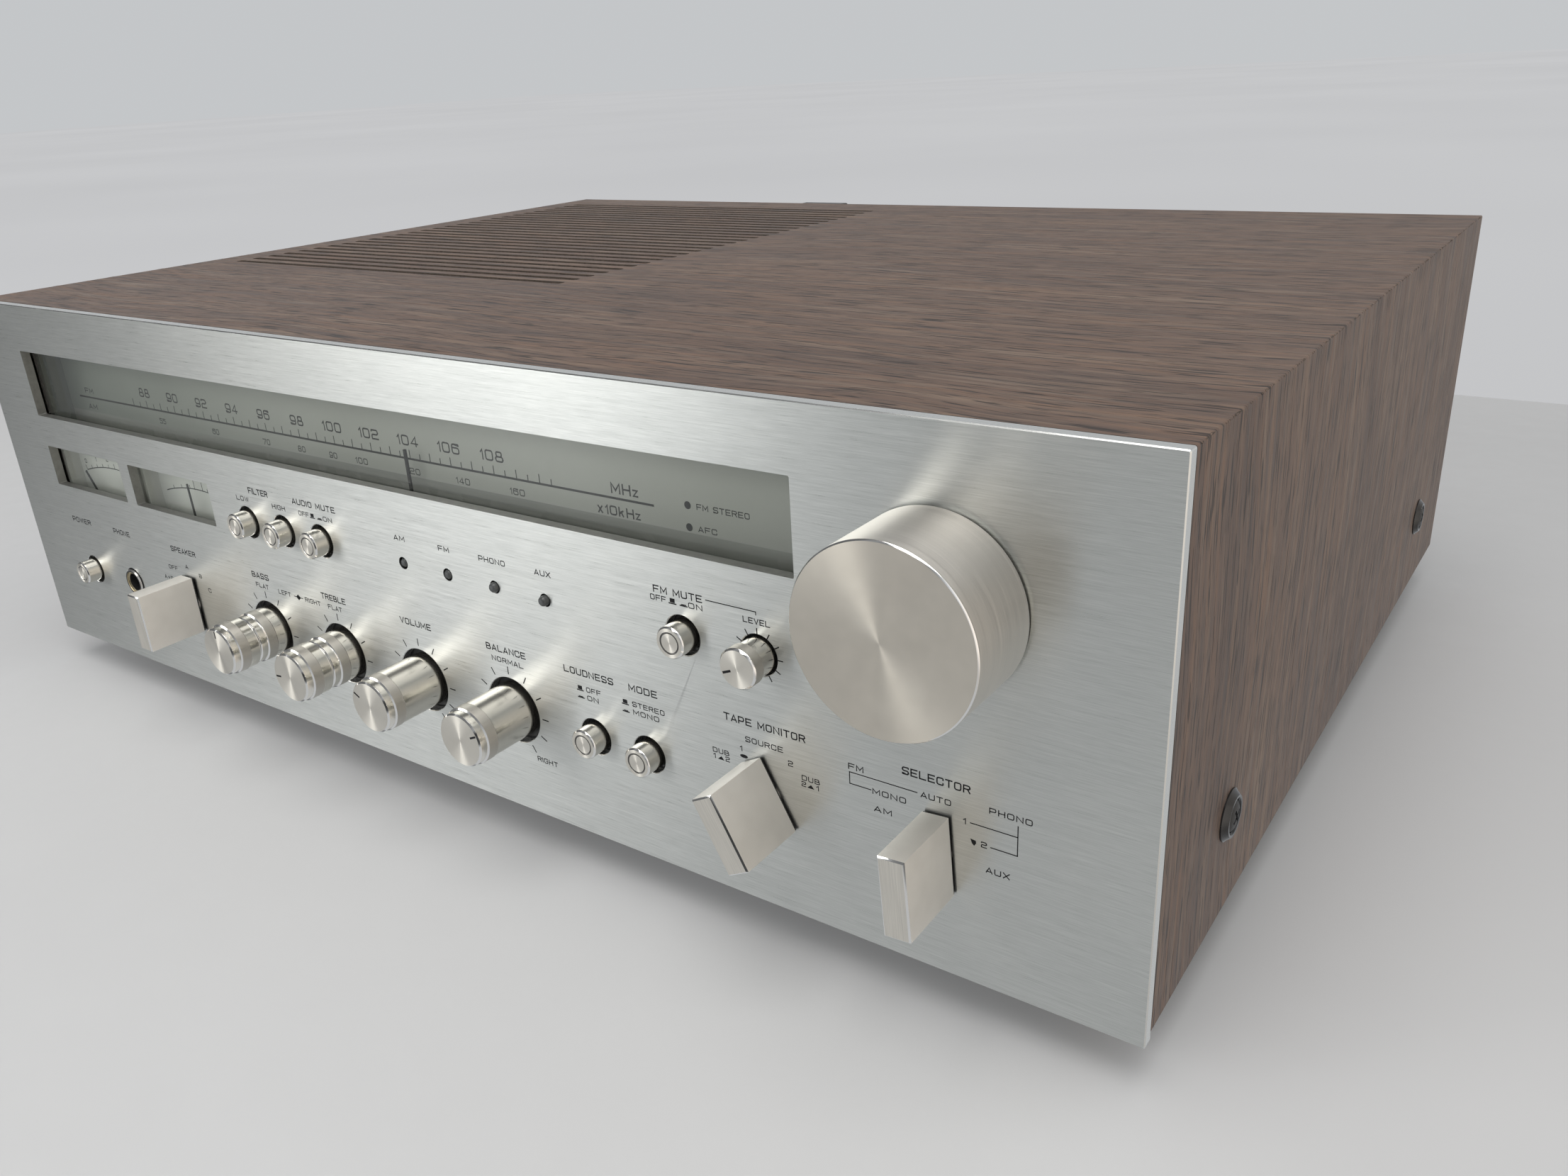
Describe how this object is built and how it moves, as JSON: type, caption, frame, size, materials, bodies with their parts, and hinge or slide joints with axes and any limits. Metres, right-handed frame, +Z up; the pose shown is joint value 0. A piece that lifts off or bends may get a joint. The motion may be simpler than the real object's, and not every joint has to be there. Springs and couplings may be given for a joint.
{
  "type": "stereo receiver",
  "caption": "Low, wide stereo receiver: wooden sleeve with top vents, aluminium front with dial window, meters, turned and bar knobs, push buttons and a large tuning knob.",
  "frame": {"origin": "centre of the overall box in X and Y, at the surface that the feet stand on", "axes": "+X to the right as seen from the front, +Y to the rear, +Z up"},
  "size_m": [0.444, 0.3682, 0.1411],
  "materials": {
    "aluminium": "brushed and spun, satin",
    "black_steel": "matt black paint",
    "plated_steel": "zinc plated",
    "black_plastic": "satin black",
    "walnut": "walnut veneer, satin",
    "black_rubber": "matt",
    "clear_window": "clear",
    "dial_grey": "grey, printed scales",
    "pointer_black": "black",
    "meter_case": "light grey face",
    "cream_plastic": "cream nylon",
    "circuit_board": "tan laminate",
    "transformer_iron": "black varnished laminations",
    "black_anodised": "black anodised",
    "capacitor_blue": "blue sleeve"
  },
  "bodies": {
    "case": {"front_panel": "aluminium", "sub_panel": "black_steel", "bottom_cover": "black_steel", "rear_panel": "black_steel", "chassis": "plated_steel", "tuning_gang": "plated_steel", "case_screw_front_right": "black_plastic", "case_screw_rear_right": "black_plastic", "case_screw_front_left": "black_plastic", "case_screw_rear_left": "black_plastic", "speaker_terminals": "black_plastic", "signal_jacks": "black_plastic", "antenna_terminals": "black_plastic", "cord_gland": "black_plastic", "antenna_bracket": "black_plastic", "phones_jack": "black_plastic", "wood_cabinet": "walnut", "foot_front_left": "black_rubber", "foot_front_right": "black_rubber", "foot_rear_left": "black_rubber", "foot_rear_right": "black_rubber", "dial_window": "clear_window", "meter_window": "clear_window", "dial_scale": "dial_grey", "signal_meter": "meter_case", "tuning_meter": "meter_case", "indicator_board": "circuit_board", "control_board": "circuit_board", "amplifier_board": "circuit_board", "tuner_board": "circuit_board", "power_transformer": "transformer_iron", "heat_sink": "black_anodised", "filter_capacitor_1": "capacitor_blue", "filter_capacitor_2": "capacitor_blue"},
    "bass_knob_front": {"bass_knob_front": "aluminium"},
    "bass_knob_rear": {"bass_knob_rear": "aluminium"},
    "treble_knob_front": {"treble_knob_front": "aluminium"},
    "treble_knob_rear": {"treble_knob_rear": "aluminium"},
    "volume_knob": {"volume_knob": "aluminium"},
    "balance_knob": {"balance_knob": "aluminium"},
    "level_knob": {"level_knob": "aluminium"},
    "speaker_knob": {"speaker_knob": "aluminium"},
    "tape_knob": {"tape_knob": "aluminium"},
    "selector_knob": {"selector_knob": "aluminium"},
    "power_button": {"power_button": "aluminium"},
    "low_filter_button": {"low_filter_button": "aluminium"},
    "high_filter_button": {"high_filter_button": "aluminium"},
    "audio_mute_button": {"audio_mute_button": "aluminium"},
    "fm_mute_button": {"fm_mute_button": "aluminium"},
    "loudness_button": {"loudness_button": "aluminium"},
    "mode_button": {"mode_button": "aluminium"},
    "tuning": {"tuning_knob": "aluminium", "tuning_shaft": "plated_steel", "flywheel": "plated_steel"},
    "pointer": {"dial_pointer": "pointer_black"},
    "drum": {"dial_drum": "cream_plastic"},
    "rotor": {"gang_rotor": "plated_steel"},
    "signal_needle": {"signal_needle": "black_plastic"},
    "tuning_needle": {"tuning_needle": "black_plastic"},
    "antenna": {"am_antenna": "black_plastic"}
  },
  "joints": [
    {"name": "bass_front_turn", "type": "hinge", "parent": "case", "child": "bass_knob_front", "pos_m": [-0.0711, -0.16185, 0.0438], "axis": [0, 1, 0], "range_deg": [-150, 150]},
    {"name": "bass_rear_turn", "type": "hinge", "parent": "case", "child": "bass_knob_rear", "pos_m": [-0.0711, -0.16185, 0.0438], "axis": [0, 1, 0], "range_deg": [-150, 150]},
    {"name": "treble_front_turn", "type": "hinge", "parent": "case", "child": "treble_knob_front", "pos_m": [-0.0343, -0.16185, 0.0438], "axis": [0, 1, 0], "range_deg": [-54, 246]},
    {"name": "treble_rear_turn", "type": "hinge", "parent": "case", "child": "treble_knob_rear", "pos_m": [-0.0343, -0.16185, 0.0438], "axis": [0, 1, 0], "range_deg": [-54, 246]},
    {"name": "volume_turn", "type": "hinge", "parent": "case", "child": "volume_knob", "pos_m": [0.00275, -0.16185, 0.0438], "axis": [0, 1, 0], "range_deg": [-88, 212]},
    {"name": "balance_turn", "type": "hinge", "parent": "case", "child": "balance_knob", "pos_m": [0.0399, -0.16185, 0.0438], "axis": [0, 1, 0], "range_deg": [-216, 84]},
    {"name": "level_turn", "type": "hinge", "parent": "case", "child": "level_knob", "pos_m": [0.126, -0.16185, 0.0808], "axis": [0, 1, 0], "range_deg": [-38, 262]},
    {"name": "speaker_turn", "type": "hinge", "parent": "case", "child": "speaker_knob", "pos_m": [-0.1163, -0.16185, 0.044], "axis": [0, 1, 0], "range_deg": [-60, 60]},
    {"name": "tape_turn", "type": "hinge", "parent": "case", "child": "tape_knob", "pos_m": [0.1268, -0.16185, 0.044], "axis": [0, 1, 0], "range_deg": [-32, 88]},
    {"name": "selector_turn", "type": "hinge", "parent": "case", "child": "selector_knob", "pos_m": [0.1722, -0.16185, 0.044], "axis": [0, 1, 0], "range_deg": [-56, 94]},
    {"name": "power_press", "type": "slide", "parent": "case", "child": "power_button", "axis": [0, 1, 0], "range_m": [0, 0.0035], "stiffness_N_per_m": 300},
    {"name": "low_filter_press", "type": "slide", "parent": "case", "child": "low_filter_button", "axis": [0, 1, 0], "range_m": [0, 0.0035], "stiffness_N_per_m": 300},
    {"name": "high_filter_press", "type": "slide", "parent": "case", "child": "high_filter_button", "axis": [0, 1, 0], "range_m": [0, 0.0035], "stiffness_N_per_m": 300},
    {"name": "audio_mute_press", "type": "slide", "parent": "case", "child": "audio_mute_button", "axis": [0, 1, 0], "range_m": [0, 0.0035], "stiffness_N_per_m": 300},
    {"name": "fm_mute_press", "type": "slide", "parent": "case", "child": "fm_mute_button", "axis": [0, 1, 0], "range_m": [0, 0.0035], "stiffness_N_per_m": 300},
    {"name": "loudness_press", "type": "slide", "parent": "case", "child": "loudness_button", "axis": [0, 1, 0], "range_m": [0, 0.0035], "stiffness_N_per_m": 300},
    {"name": "mode_press", "type": "slide", "parent": "case", "child": "mode_button", "axis": [0, 1, 0], "range_m": [0, 0.0035], "stiffness_N_per_m": 300},
    {"name": "tuning_turn", "type": "hinge", "parent": "case", "child": "tuning", "pos_m": [0.1716, -0.16185, 0.1034], "axis": [0, 1, 0], "range_deg": [-2111, 583]},
    {"name": "pointer_travel", "type": "slide", "parent": "case", "child": "pointer", "axis": [1, 0, 0], "range_m": [-0.148, 0.0412]},
    {"name": "drum_turn", "type": "hinge", "parent": "case", "child": "drum", "pos_m": [0.11, -0.16185, 0.074], "axis": [0, 1, 0], "range_deg": [-282, 78.5]},
    {"name": "rotor_turn", "type": "hinge", "parent": "case", "child": "rotor", "pos_m": [0.11, -0.16185, 0.074], "axis": [0, 1, 0], "range_deg": [-142, 40]},
    {"name": "signal_needle_swing", "type": "hinge", "parent": "case", "child": "signal_needle", "pos_m": [-0.16775, -0.16185, 0.0576], "axis": [0, 1, 0], "range_deg": [0, 68], "stiffness_Nm_per_rad": 0.0001},
    {"name": "tuning_needle_swing", "type": "hinge", "parent": "case", "child": "tuning_needle", "pos_m": [-0.11425, -0.16185, 0.0576], "axis": [0, 1, 0], "range_deg": [-32, 36], "stiffness_Nm_per_rad": 0.0001},
    {"name": "antenna_swing", "type": "hinge", "parent": "case", "child": "antenna", "pos_m": [-0.076, 0.17615, 0.117], "axis": [0, 0, 1], "range_deg": [0, 90]}
  ],
  "couplings": [
    {"joint": "pointer_travel", "follows": "tuning_turn", "m_per_rad": 0.004},
    {"joint": "drum_turn", "follows": "tuning_turn", "ratio": 0.13333},
    {"joint": "rotor_turn", "follows": "tuning_turn", "ratio": 0.066771}
  ]
}
